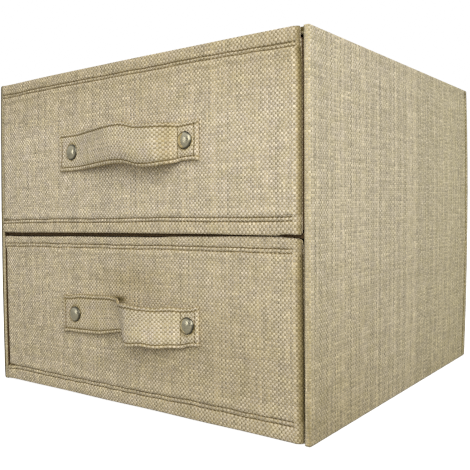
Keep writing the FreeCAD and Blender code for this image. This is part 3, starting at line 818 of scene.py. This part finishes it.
def drawer_front(name, D):
    body = name + "_drawer"
    f0, f1 = D["f"]
    b0, b1 = D["b"]
    face_y = D["face"]
    face, rows, box, ra, rb, hem_edge = front_shape(D)
    half = 144.3
    lo_room, hi_room = f0 + D["low_rows"][1] + 2.2, f1 - D["top_rows"][1] - 2.0
    left_room, right_room = (-134.6 if name == "lower" else -136.4), 136.6

    def arc(x, r, hi):
        """Line on the rounded side that lies at the place x."""
        c = hi - r
        return c + r * math.asin(min(1.0, max(0.0, (x - c) / r))) if x > c else x

    ang_l = -(half - ra[0]) - ra[0] * np.linspace(1, 0, 7) * math.pi / 2
    ang_r = (half - ra[1]) + ra[1] * np.linspace(0, 1, 11) * math.pi / 2
    stops = [(-(half - ra[0]), 0.7), (left_room - 1.0, 0.9 if name == "lower" else 0.8), (ang_r[0], None)]
    step_a = [left_room, left_room + 0.06, right_room, right_room - 0.06]
    l1 = arc(140.95, ra[1], half)
    extra = [-140.95, -140.89, l1, l1 - 0.08]
    s = np.unique(np.round(np.concatenate([ang_l, spaced(stops), ang_r, step_a, extra]), 4))
    ang_b = f0 + rb[0] - rb[0] * np.linspace(1, 0, 5) * math.pi / 2
    ang_t = f1 - rb[1] + rb[1] * np.linspace(0, 1, 5) * math.pi / 2
    stops = [(f0 + rb[0], 0.38), (f0 + D["low_rows"][1] + 2.4, 0.8), (f0 + D["low_rows"][1] + 6.0, 2.6),
             (f1 - D["top_rows"][1] - 6.0, 0.8), (f1 - D["top_rows"][1] - 2.2, 0.38), (f1 - rb[1], None)]
    steps = [b0, b0 - 0.06, b0 + 3.05, b0 + 3.11, b1 - 0.6, b1 - 0.54, lo_room, lo_room + 0.06, hi_room, hi_room - 0.06]
    t = np.unique(np.round(np.concatenate([ang_b, spaced(stops), ang_t, steps]), 4))
    t = t[np.concatenate([[True], np.diff(t) > 0.015])]
    s = s[np.concatenate([[True], np.diff(s) > 0.015])]

    def back(S, T):
        a, b, qa, qb = rounded(S, T, box, ra, rb)
        b = np.clip(b, f0, f1)
        d = 3.3 - 0.9 * (1 - np.sqrt(1 - np.clip(qb * qb, 0, 1)))
        layer = (T > b0 - 0.03) & (T < b1 - 0.57)
        d = np.where(layer, 4.5, d)
        felt = (S > -140.92) & (S < l1 - 0.04) & (T > b0 + 3.08) & (T < b1 - 0.57)
        d = np.where(felt, 3.86, d)
        room = (S > left_room + 0.03) & (S < right_room - 0.03) & (T > lo_room + 0.03) & (T < hi_room - 0.03)
        d = np.where(room, 0.9, d)
        rise = hem_edge(a, "low") * (1 - smooth(0.0, 4.0, b - f0)) + hem_edge(a, "top") * (1 - smooth(0.0, 4.0, f1 - b))
        drawn = curve(D["right_in"], b) * smooth(143.0, 144.3, a) * 0.8
        # painted shade on the back face
        return a - drawn, b + rise, d, 0.2 * np.ones_like(a)

    m = Sewn()
    place = lambda a, b, d: stack(a, face_y + d, b)
    slab(m, s, t, face, back, place, rows=((0.30, 0.0), (0.58, 0.0), (0.64, 1.0), (0.9, 1.0)))
    ob = m.make(body + "_front_cover_fabric", body, "linen", CLOTH, warp=lambda p: lean(p, True), sharp=50.0)
    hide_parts(body + "_front_cover")

    # topstitching: two rows above and two below
    k = Sewn()
    rng = np.random.default_rng(D["seed"] + 77)
    for which in ("low", "top"):
        for r in (0, 1):
            a = -142.6 + rng.uniform(0, 0.5)
            stop = (143.0 if name == "upper" and which == "top" else D["ridge"]) - 1.2
            while a + 2.7 < stop:
                long = 2.62 + rng.normal(0, 0.10)
                x = a + np.array([0.0, 0.12, 0.5, 0.88, 1.0]) * long
                off = rows(x, which)[r]
                slant = rng.normal(0, 0.07) * np.linspace(-1, 1, 5)
                bb = (f0 + off if which == "low" else f1 - off) + slant
                fa, fb, fd, _ = face(x, bb)
                lift = np.array([0.30, -0.06, -0.20, -0.06, 0.30])
                fat = np.array([0.10, 0.27, 0.33, 0.27, 0.10]) * rng.uniform(0.92, 1.08)
                tube(k, stack(fa, face_y + fd + lift, fb), fat)
                a += 3.2 + rng.normal(0, 0.05)
    th = k.make(body + "_front_topstitch", body, "linen", THREAD, warp=lambda p: lean(p, True), sharp=80.0)
    thin(body + "_front_board_shaped", body + "_front_board", body, ((left_room + 0.3, right_room - 0.3), (lo_room + 0.3, hi_room - 0.3)),
         place, (1.0, 3.8), CARD, "board", drawer=True)
    return ob


def from_surface(m, name, body, slot, mat, thick, sharp=40.0):
    """One layer becomes a closed sheet of that thickness, half to each side."""
    ob = m.make(name, body, slot, mat, warp=lambda p: lean(p, True), sharp=sharp)
    mod = ob.modifiers.new("thick", "SOLIDIFY")
    mod.thickness = thick * MM
    mod.offset = 0.0
    mod.use_even_offset = True
    mod.use_quality_normals = True
    deps = bpy.context.evaluated_depsgraph_get()
    me = bpy.data.meshes.new_from_object(ob.evaluated_get(deps), preserve_all_data_layers=True, depsgraph=deps)
    old = ob.data
    ob.modifiers.clear()
    ob.data = me
    bpy.data.meshes.remove(old)
    me.name = name
    return ob


def drawer_box(name, D):
    """Lining with its fold over the rim, the sheath outside, and the boards between them."""
    body = name + "_drawer"
    b0, b1 = D["b"]
    face_y = D["face"]
    back_y = face_y + 4.5
    seed = D["seed"] + 300

    # lining: one surface down the walls and across the floor
    m = Sewn()
    x0, x1, y0, y1 = -140.6, 140.6, face_y + 4.2, 139.6
    zf, zr = b0 + 3.4, b1 - 0.3
    s = spaced([(x0, 0.6), (x0 + 1.8, 6.0), (x1 - 1.8, 0.6), (x1, None)])
    t = spaced([(y0, 0.6), (y0 + 1.8, 6.0), (y1 - 1.8, 0.6), (y1, None)])
    S, T = np.meshgrid(s, t, indexing="ij")
    edge = np.minimum(np.minimum(S - x0, x1 - S), np.minimum(T - y0, y1 - T))
    floor = zf + 0.10 * smooth(2.0, 14.0, edge) * (1 + ripple(S, T, seed, 60.0)) + 0.35 * hump(edge, 0.0, 0.8)
    # painted shade along the floor where it meets the walls
    ids = m.add(stack(S, T, floor), 0.9 * hump(edge, 0.0, 7.0))
    m.grid(ids, S, T)
    ring = perimeter(len(s), len(t))
    i, j = ring[:, 0], ring[:, 1]
    px, py = S[i, j], T[i, j]
    ox = (px > x1 - 0.01) * 1.0 - (px < x0 + 0.01) * 1.0
    oy = (py > y1 - 0.01) * 1.0 - (py < y0 + 0.01) * 1.0
    loops = [ids[i, j]]
    heights = [0.0]
    zs = spaced([(zf + 0.9, 5.0), (zr - 6.0, 1.2), (zr - 0.5, None)])
    along = np.concatenate([[0], np.cumsum(np.hypot(np.diff(px), np.diff(py)))])
    corner = np.minimum(np.minimum(px - x0, x1 - px) + np.minimum(py - y0, y1 - py), 40.0)
    for z in zs:
        soft = 0.10 * smooth(0.0, 12.0, corner) * smooth(zf, zf + 20, z) * (1 - smooth(zr - 12, zr - 2, z)) * (1 + ripple(along, z + 0 * along, seed + 1, 50.0))
        # painted shade low on the walls and in the corners
        loops.append(m.add(stack(px - ox * soft, py - oy * soft, z), 0.9 * math.exp(-(((z - zf) / 7.0) ** 2)) + 0.5 * hump(corner, 0.0, 5.0)))
        heights.append(z - zf)
    # the fold over the rim: left, right and back 3.1 mm wide, the front 0.8 mm
    wide_x = 3.05
    for k, (share, z) in enumerate(((0.12, zr - 0.12), (0.45, zr + 0.04), (0.8, zr + 0.02), (1.0, zr - 0.02))):
        wy = np.where(oy < 0, 0.62, wide_x)
        loops.append(m.add(stack(px + ox * wide_x * share, py + oy * wy * share, z + 0.06 * ripple(along, 0 * along, seed + 2, 18.0)), 0.1))
        heights.append(zr - zf + wide_x * share)
    loops = np.array(loops)
    closed = np.concatenate([loops, loops[:, :1]], 1)
    far = np.concatenate([along, [along[-1] + np.hypot(px[0] - px[-1], py[0] - py[-1])]])
    hh = np.array(heights)[:, None] + 0 * far[None, :]
    m.grid(closed, far[None, :] + 0 * hh, hh)
    ob = from_surface(m, body + "_lining_felt", body, "lining", FELT, 0.52)
    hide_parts(body + "_lining")

    # sheath: floor, left, right and back
    m = Sewn()
    x0, x1, y0, y1 = -143.7, 143.7, back_y + 0.05, 142.7
    zf, zr = b0 + 0.3, b1 - 0.62
    s = spaced([(x0, 0.5), (x0 + 1.5, 6.0), (x1 - 1.5, 0.5), (x1, None)])
    t = spaced([(y0, 6.0), (y1 - 1.5, 0.5), (y1, None)])
    S, T = np.meshgrid(s, t, indexing="ij")
    edge = np.minimum(np.minimum(S - x0, x1 - S), y1 - T)
    floor = zf - 0.12 * smooth(2.0, 14.0, edge) * 0.5 * (1 + ripple(S, T, seed + 5, 60.0)) + 0.3 * hump(edge, 0.0, 0.6)
    # painted shade, a little, over the sheath's floor and walls
    ids = m.add(stack(S, T, floor), 0.2)
    m.grid(ids, S, T)
    na, nb = len(s), len(t)
    ring = np.array([(0, q) for q in range(nb)] + [(p, nb - 1) for p in range(1, na)] + [(na - 1, q) for q in range(nb - 2, -1, -1)])
    i, j = ring[:, 0], ring[:, 1]
    px, py = S[i, j], T[i, j]
    ox = (px > x1 - 0.01) * 1.0 - (px < x0 + 0.01) * 1.0
    oy = (py > y1 - 0.01) * 1.0
    along = np.concatenate([[0], np.cumsum(np.hypot(np.diff(px), np.diff(py)))])
    corner = np.minimum(np.minimum(px - x0, x1 - px) + (y1 - py), 40.0)
    loops, heights = [ids[i, j]], [0.0]
    for z in spaced([(zf + 0.7, 5.0), (zr, None)]):
        soft = 0.18 * smooth(0.0, 10.0, corner) * smooth(zf, zf + 10, z) * (1 - smooth(zr - 8, zr, z)) * 0.5 * (1 + ripple(along, z + 0 * along, seed + 6, 55.0))
        loops.append(m.add(stack(px + ox * soft, py + oy * soft, z), 0.15))
        heights.append(z - zf)
    hh = np.array(heights)[:, None] + 0 * along[None, :]
    m.grid(np.array(loops), along[None, :] + 0 * hh, hh)
    ob = from_surface(m, body + "_sheath_felt", body, "lining", FELT, 0.52)
    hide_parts(body + "_sheath")

    z = (b0 + 0.75, b1 - 0.75)
    y = (back_y + 0.1, 142.3)
    thin(body + "_left_board_shaped", body + "_left_board", body, (y, z), lambda a, b, d: stack(-143.4 + d, a, b), (0.10, 2.40), CARD, "board", drawer=True)
    thin(body + "_right_board_shaped", body + "_right_board", body, (y, z), lambda a, b, d: stack(143.4 - d, a, b), (0.10, 2.40), CARD, "board", drawer=True)
    thin(body + "_back_board_shaped", body + "_back_board", body, ((-140.8, 140.8), z), lambda a, b, d: stack(a, 142.4 - d, b), (0.10, 2.40), CARD, "board", drawer=True)
    thin(body + "_bottom_board_shaped", body + "_bottom_board", body, ((-140.8, 140.8), (back_y + 0.1, 139.8)), lambda a, b, d: stack(a, b, b0 + 0.6 + d),
         (0.10, 2.35), CARD, "board", drawer=True)


for name, D in DRAWERS.items():
    drawer_front(name, D)
    drawer_box(name, D)


# ------------------------------------------------------------------ handles
STRAPS = {
    "upper": dict(
        ends=(-67.6, 69.2), z=188.1, rivets=((-53.3, -0.35), (58.2, 0.35)),
        rise=[(-67.6, .2), (-52, .2), (-46, .8), (-36, 3.4), (-25, 6.6), (-12, 10), (0, 12.4), (8, 13.2), (20, 13.4), (32, 13.2), (40, 12.6), (45, 10.6), (48, 6), (50.5, 2), (54, .3), (69.2, .2)],
        shift=[(-70, 0), (-50, 0), (-25, .8), (0, 1.8), (8, 1.7), (15, .5), (25, -1.8), (35, -2.2), (44, -2.0), (50, -1.2), (60, -.3), (72, 0)],
        half=[(-70, 14.4), (-30, 14.4), (0, 14.2), (30, 14.4), (46, 13.8), (54, 12.7), (62, 12.8), (72, 14.0)],
        twist=[(-70, 0, 0), (-46, 0, 0), (-28, -.3, -1.5), (8, -.4, -4.5), (40, -.3, -3.5), (49, 0, 0), (70, 0, 0)], cross=(51.5,), seed=401, bend_shade=0.26, left_part_shade=0.0),
    "lower": dict(
        ends=(-68.2, 66.6), z=64.5, rivets=((-54.2, -0.4), (57.2, 0.4)),
        rise=[(-68.2, .2), (-45, .4), (-30, 1), (-15, 2), (-5, 3), (2, 5.5), (7, 10), (12, 12.6), (17, 13), (24, 12.2), (32, 9.5), (40, 6), (47, 2.8), (52, .8), (56, .2), (66.6, .2)],
        shift=[(-70, -.6), (-61, -.4), (-50, .4), (-30, .9), (-15, 2.3), (-5, 2.6), (0, 1.3), (12, -1.6), (24, -1.4), (33, -2.2), (45, -1.6), (50, -1.8), (60, -.4), (70, 1.2)],
        half=[(-70, 15.0), (-61, 14.2), (-50, 15), (-30, 14.8), (-15, 13.8), (-5, 12.3), (0, 11.2), (6, 13.8), (12, 15.2), (24, 13.8), (33, 14), (45, 14), (50, 13.8), (60, 13.0), (70, 14.2)],
        twist=[(-70, 0, 0), (-14, 0, 0), (-6, 1.6, -0.6), (0, 4.0, -1.5), (6, 2.6, -0.8), (14, 0.3, 0), (70, 0, 0)], cross=(51.5,), seed=501, bend_shade=0.0, left_part_shade=0.14),
}


def handle(name, D, H):
    body = name + "_drawer"
    face_y = D["face"]
    thick = 2.4
    xs = np.linspace(H["ends"][0], H["ends"][1], 2400)
    ns = curve(H["rise"], xs)
    arc = np.concatenate([[0], np.cumsum(np.hypot(np.diff(xs), np.diff(ns)))])
    total = arc[-1]
    tx, tn = np.gradient(xs, arc), np.gradient(ns, arc)
    # a little smoothing keeps the thick outside from creasing
    kern = np.hanning(81)
    kern /= kern.sum()
    pad = lambda w: np.convolve(np.pad(w, 40, mode="edge"), kern, "valid")
    tx, tn = pad(tx), pad(tn)
    norm = np.hypot(tx, tn)
    tx, tn = tx / norm, tn / norm

    def at(l):
        return [np.interp(l, arc, w) for w in (xs, ns, tx, tn)]

    top_tw = [(k[0], k[1]) for k in H["twist"]]
    low_tw = [(k[0], k[2]) for k in H["twist"]]

    def place(l, w, d):
        """l along the strap, w across it from -1 to 1, d below its outer face."""
        x, n, dx, dn = at(l)
        out = thick - d
        tw = np.where(w > 0, curve(top_tw, x) * w ** 2, curve(low_tw, x) * w ** 2)
        n2 = np.maximum(n + tw, 0.15)
        px = x - dn * out
        py = face_y - n2 - dx * out
        pz = H["z"] + curve(H["shift"], x) + w * curve(H["half"], x)
        return stack(px, py, pz)

    box = ((0.0, total), (-14.5, 14.5))
    r = 0.95
    lo_s, hi_s = ends(0.0, total, r)
    lo_t, hi_t = ends(-14.5, 14.5, r)
    s = np.concatenate([lo_s, spaced([(lo_s[-1], 0.8), (hi_s[0], None)])[1:], hi_s[1:]])
    t = np.concatenate([lo_t, spaced([(lo_t[-1], 0.35), (-10.6, 1.1), (10.6, 0.35), (hi_t[0], None)])[1:], hi_t[1:]])
    cross = [float(np.interp(c, xs, arc)) for c in H["cross"]] + [3.0, total - 3.0]
    rivet_l = [float(np.interp(q[0], xs, arc)) for q in H["rivets"]]
    seed = H["seed"]

    def relief(a, b):
        wav = 0.25 * ripple(a, 0 * a, seed, 40.0)
        e = np.abs(b)
        d = 0.42 * hump(e, 11.8 + wav, 0.6) * (1 + 0.3 * np.cos(2 * math.pi * a / 3.0))
        d = d - 0.20 * hump(e, 13.1, 0.8) - 0.16 * hump(e, 8.5, 3.5)
        # painted shade in the stitch grooves and along the rolled edges
        shade = 0.70 * hump(e, 11.8 + wav, 0.62) + 0.75 * hump(e, 14.5, 0.6)
        for c in cross:
            inside = 1 - smooth(11.4, 12.2, e)
            c2 = c + 0.25 * ripple(b, 0 * b, seed + 2, 12.0)
            d = d + inside * (0.38 * hump(a, c2, 0.6) - 0.15 * hump(a, c2 + 1.6, 0.9) - 0.15 * hump(a, c2 - 1.6, 0.9))
            # painted shade in the cross-stitch groove
            shade = shade + 0.6 * inside * hump(a, c2, 0.42)
        for c in rivet_l:
            rr = np.hypot(a - c, b)
            d = d + 0.30 * (1 - smooth(5.8, 9.0, rr))
            # painted shade: a dark ring round each rivet cap
            shade = shade + 1.0 * hump(rr, 6.1, 0.5)
        # painted shadow at the upper strap's right-hand bend, and painted shade on the lower strap's left part
        shade = shade + H["bend_shade"] * hump(at(a)[0], 46.5, 3.0) + H["left_part_shade"] * (1 - smooth(-8.0, 6.0, at(a)[0]))
        d = d + 0.10 * ripple(a, b, seed + 4, 16.0) + 0.07 * ripple(a, b, seed + 5, 6.0)
        return d, shade

    def outer(S, T):
        a, b, qa, qb = rounded(S, T, box, (r, r), (r, r))
        q = np.clip(qa * qa + qb * qb, 0, 1)
        d, shade = relief(a, b)
        return a, b / 14.5, d + r * (1 - np.sqrt(1 - q)), shade

    def inner(S, T):
        a, b, qa, qb = rounded(S, T, box, (r, r), (r, r))
        q = np.clip(qa * qa + qb * qb, 0, 1)
        free = smooth(0.6, 2.0, at(a)[1])
        # painted shade on the underside
        return a, b / 14.5, thick - 0.7 * (1 - np.sqrt(1 - q)) - free * 0.12 * (1 + ripple(a, b, seed + 8, 14.0)), 0.25 * np.ones_like(a)

    m = Sewn()
    slab(m, s, t, outer, inner, place, rows=((0.5, 0.5),))
    # cloth threads run along the strap: the layout's u across, v along
    m.uvs = [q[..., ::-1] for q in m.uvs]
    ob = m.make(body + "_handle_strap_fabric", body, "linen", CLOTH_STRAP, warp=lambda p: lean(p, True), sharp=50.0)
    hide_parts(body + "_handle_strap")

    k = Sewn()
    rng = np.random.default_rng(seed + 60)

    def sew(la, wa):
        """One stitch along the points (la, wa) on the outer face."""
        d, _ = relief(la, wa)
        lift = np.array([0.28, -0.05, -0.16, -0.05, 0.28])
        fat = np.array([0.10, 0.25, 0.31, 0.25, 0.10]) * rng.uniform(0.92, 1.08)
        p = place(la, wa / 14.5, d + lift)
        n = at(la[2:3])
        tube(k, p, fat, up=np.array([-n[3][0], -n[2][0], 0.0]) if abs(wa[0] - wa[-1]) < 1.5 else np.array([-n[3][0], -n[2][0], 0.0]))

    share = np.array([0.0, 0.12, 0.5, 0.88, 1.0])
    for side in (-1.0, 1.0):
        a = 3.2 + rng.uniform(0, 0.4)
        while a + 2.5 < total - 3.0:
            la = a + share * (2.45 + rng.normal(0, 0.08))
            wa = side * (11.8 + 0.25 * ripple(la, 0 * la, seed, 40.0)) + rng.normal(0, 0.05)
            sew(la, wa)
            a += 3.0 + rng.normal(0, 0.05)
    for c in cross:
        b = -11.4 + rng.uniform(0, 0.4)
        while b + 2.4 < 11.6:
            wa = b + share * (2.35 + rng.normal(0, 0.08))
            la = c + 0.25 * ripple(wa, 0 * wa, seed + 2, 12.0) + rng.normal(0, 0.04)
            sew(la, wa)
            b += 2.9 + rng.normal(0, 0.05)
    th = k.make(body + "_handle_topstitch", body, "linen", THREAD, warp=lambda p: lean(p, True), sharp=80.0)

    # rivet caps: shallow domes with a turned rim
    m = Sewn()
    prof = np.array([(0.02, 2.62), (0.7, 2.61), (1.5, 2.56), (2.4, 2.44), (3.3, 2.24), (4.1, 1.98), (4.8, 1.66), (5.35, 1.34), (5.8, 1.02),
                     (6.08, 0.78), (6.25, 0.52), (6.28, 0.34), (6.2, 0.14), (6.0, 0.02), (5.0, 0.0), (3.0, 0.0), (1.0, 0.0), (0.02, 0.0)])
    prof[:, 0] *= 0.95
    ang = np.linspace(0, 2 * math.pi, 65)
    for q, (x, tilt) in enumerate(H["rivets"]):
        l = rivet_l[q]
        seat = face_y - 2.25
        zc = H["z"] + float(curve(H["shift"], np.array([x]))[0]) * (0.35 if name == "upper" else 0.0) + tilt
        dent = 1 + 0.004 * np.sin(2 * ang + q) + 0.003 * np.sin(3 * ang)
        ring_x = x + prof[:, :1] * np.cos(ang)[None, :] * dent
        ring_z = zc + prof[:, :1] * np.sin(ang)[None, :] * dent
        lean_y = 0.012 * (ring_x - x) * (1 if q else -1)
        # painted shade and painted dark reflection on the brim of each cap
        rim_shade = smooth(4.5, 5.45, prof[:, :1]) * smooth(-0.1, 0.1, 1.7 - prof[:, 1:])
        ids = m.add(stack(ring_x, seat - prof[:, 1:] + lean_y, ring_z)[:, :-1], (rim_shade + 0 * ring_x)[:, :-1])
        closed = np.concatenate([ids, ids[:, :1]], 1)
        m.grid(closed, np.linspace(0, 20, len(prof))[:, None] + 0.0 * closed, np.linspace(0, 39, 65)[None, :] + 0.0 * closed)
        for end in (0, len(prof) - 1):
            for p in range(1, 62, 2):
                quad = (ids[end, 0], ids[end, p], ids[end, p + 1], ids[end, p + 2])
                order = quad if end == 0 else quad[::-1]
                m.grid(np.array([[order[0], order[1]], [order[3], order[2]]]), np.array([[0.0, 0.0], [0.05, 0.05]]), np.array([[0.0, 0.05], [0.0, 0.05]]))
    ob = m.make(body + "_rivet_caps_domed", body, "nickel", PLATE, warp=lambda p: lean(p, True), sharp=55.0)
    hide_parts(body + "_rivet_caps")


for name in DRAWERS:
    handle(name, DRAWERS[name], STRAPS[name])

# the posts and washers inside the drawers keep their shapes
for name in ("upper_drawer", "lower_drawer"):
    for part in ("_rivet_posts", "_rivet_washers"):
        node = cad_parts[name + part]
        if not node.material_slots:
            node.data.materials.append(PLATE)
        for sl in node.material_slots:
            sl.material = PLATE


# ------------------------------------------------------------------ camera, floor, light
scene = bpy.context.scene
cam = bpy.data.objects.new("camera", bpy.data.cameras.new("camera"))
scene.collection.objects.link(cam)
cam.matrix_world = Matrix((
    (0.8121231, -0.0151302, 0.5832899, 0.3398889),
    (0.5833644, 0.0414770, -0.8111509, -0.4916790),
    (-0.0119202, 0.9990249, 0.0425109, 0.1447634),
    (0.0, 0.0, 0.0, 1.0)))
cam.data.sensor_width = 36.0
cam.data.lens = 50.676
cam.data.clip_start = 0.01
cam.data.clip_end = 200.0
scene.camera = cam

floor_mesh = bpy.data.meshes.new("floor")
w = 40.0
floor_mesh.from_pydata([(-w, -w, -0.0006), (w, -w, -0.0006), (w, w, -0.0006), (-w, w, -0.0006)], [], [(0, 1, 2, 3)])
floor = bpy.data.objects.new("floor", floor_mesh)
scene.collection.objects.link(floor)
g = Nodes("floor_white")
tree = g.tree
diff = g.new("ShaderNodeBsdfDiffuse")
diff.inputs[0].default_value = (0.30, 0.295, 0.28, 1.0)
glow = g.new("ShaderNodeEmission")
glow.inputs[0].default_value = (1.0, 1.0, 1.0, 1.0)
glow.inputs[1].default_value = 0.80
white = g.new("ShaderNodeBsdfDiffuse")
white.inputs[0].default_value = (0.85, 0.85, 0.85, 1.0)
both = g.new("ShaderNodeAddShader")
g.link(white.outputs[0], both.inputs[0])
g.link(glow.outputs[0], both.inputs[1])
pick = g.new("ShaderNodeMixShader")
path = g.new("ShaderNodeLightPath")
g.link(path.outputs["Is Camera Ray"], pick.inputs[0])
lift = g.new("ShaderNodeEmission")
lift.inputs[0].default_value = (1.0, 0.98, 0.95, 1.0)
lift.inputs[1].default_value = 0.10
low = g.new("ShaderNodeAddShader")
g.link(diff.outputs[0], low.inputs[0])
g.link(lift.outputs[0], low.inputs[1])
g.link(low.outputs[0], pick.inputs[1])
g.link(both.outputs[0], pick.inputs[2])
g.link(pick.outputs[0], g.out.inputs[0])
tree.nodes.remove(g.skin)
floor_mesh.materials.append(g.mat)


def lamp(name, place, aim, size, power, tone=(1.0, 1.0, 1.0)):
    data = bpy.data.lights.new(name, "AREA")
    data.shape = "RECTANGLE"
    data.size, data.size_y = size
    data.energy = power
    data.color = tone
    ob = bpy.data.objects.new(name, data)
    scene.collection.objects.link(ob)
    ob.location = place
    to = np.array(aim, float) - np.array(place, float)
    from mathutils import Vector
    ob.rotation_euler = Vector(to).to_track_quat("-Z", "Y").to_euler()
    return ob


lamp("key", (0.63, -0.71, 0.56), (0.06, -0.1, 0.14), (0.80, 0.80), 7.1, (1.0, 0.99, 0.97))
lamp("left_softbox", (-0.44, -1.36, 0.34), (0.0, -0.15, 0.12), (0.22, 0.55), 0.9, (1.0, 0.99, 0.97))

world = bpy.data.worlds.new("studio")
scene.world = world
world.use_nodes = True
wt = world.node_tree
wt.nodes.clear()
wo = wt.nodes.new("ShaderNodeOutputWorld")
cam_bg = wt.nodes.new("ShaderNodeBackground")
cam_bg.inputs[0].default_value = (1.0, 1.0, 1.0, 1.0)
amb = wt.nodes.new("ShaderNodeBackground")
co = wt.nodes.new("ShaderNodeTexCoord")
sp = wt.nodes.new("ShaderNodeSeparateXYZ")
wt.links.new(co.outputs["Generated"], sp.inputs[0])
rg = wt.nodes.new("ShaderNodeMapRange")
wt.links.new(sp.outputs[2], rg.inputs[0])
rg.inputs[1].default_value = -0.2
rg.inputs[2].default_value = 1.0
rg.inputs[3].default_value = 0.32
rg.inputs[4].default_value = 0.62
# the dark end of the room behind the viewer, which the plated caps reflect
ahead = wt.nodes.new("ShaderNodeVectorMath")
ahead.operation = "DOT_PRODUCT"
wt.links.new(co.outputs["Generated"], ahead.inputs[0])
ahead.inputs[1].default_value = (0.10, -0.985, 0.14)
dim = wt.nodes.new("ShaderNodeMapRange")
dim.interpolation_type = "SMOOTHSTEP"
wt.links.new(ahead.outputs["Value"], dim.inputs[0])
dim.inputs[1].default_value = 0.86
dim.inputs[2].default_value = 0.97
dim.inputs[3].default_value = 1.0
dim.inputs[4].default_value = 0.35
both_amb = wt.nodes.new("ShaderNodeMath")
both_amb.operation = "MULTIPLY"
wt.links.new(rg.outputs[0], both_amb.inputs[0])
wt.links.new(dim.outputs[0], both_amb.inputs[1])
wt.links.new(both_amb.outputs[0], amb.inputs[1])
amb.inputs[0].default_value = (1.0, 0.99, 0.975, 1.0)
lp = wt.nodes.new("ShaderNodeLightPath")
mx = wt.nodes.new("ShaderNodeMixShader")
wt.links.new(lp.outputs["Is Camera Ray"], mx.inputs[0])
wt.links.new(amb.outputs[0], mx.inputs[1])
wt.links.new(cam_bg.outputs[0], mx.inputs[2])
wt.links.new(mx.outputs[0], wo.inputs[0])

scene.cycles.filter_width = 1.3
scene.cycles.use_denoising = False
scene.view_settings.view_transform = "Standard"
scene.view_settings.look = "None"
scene.view_settings.exposure = 0.0
scene.view_settings.gamma = 1.0
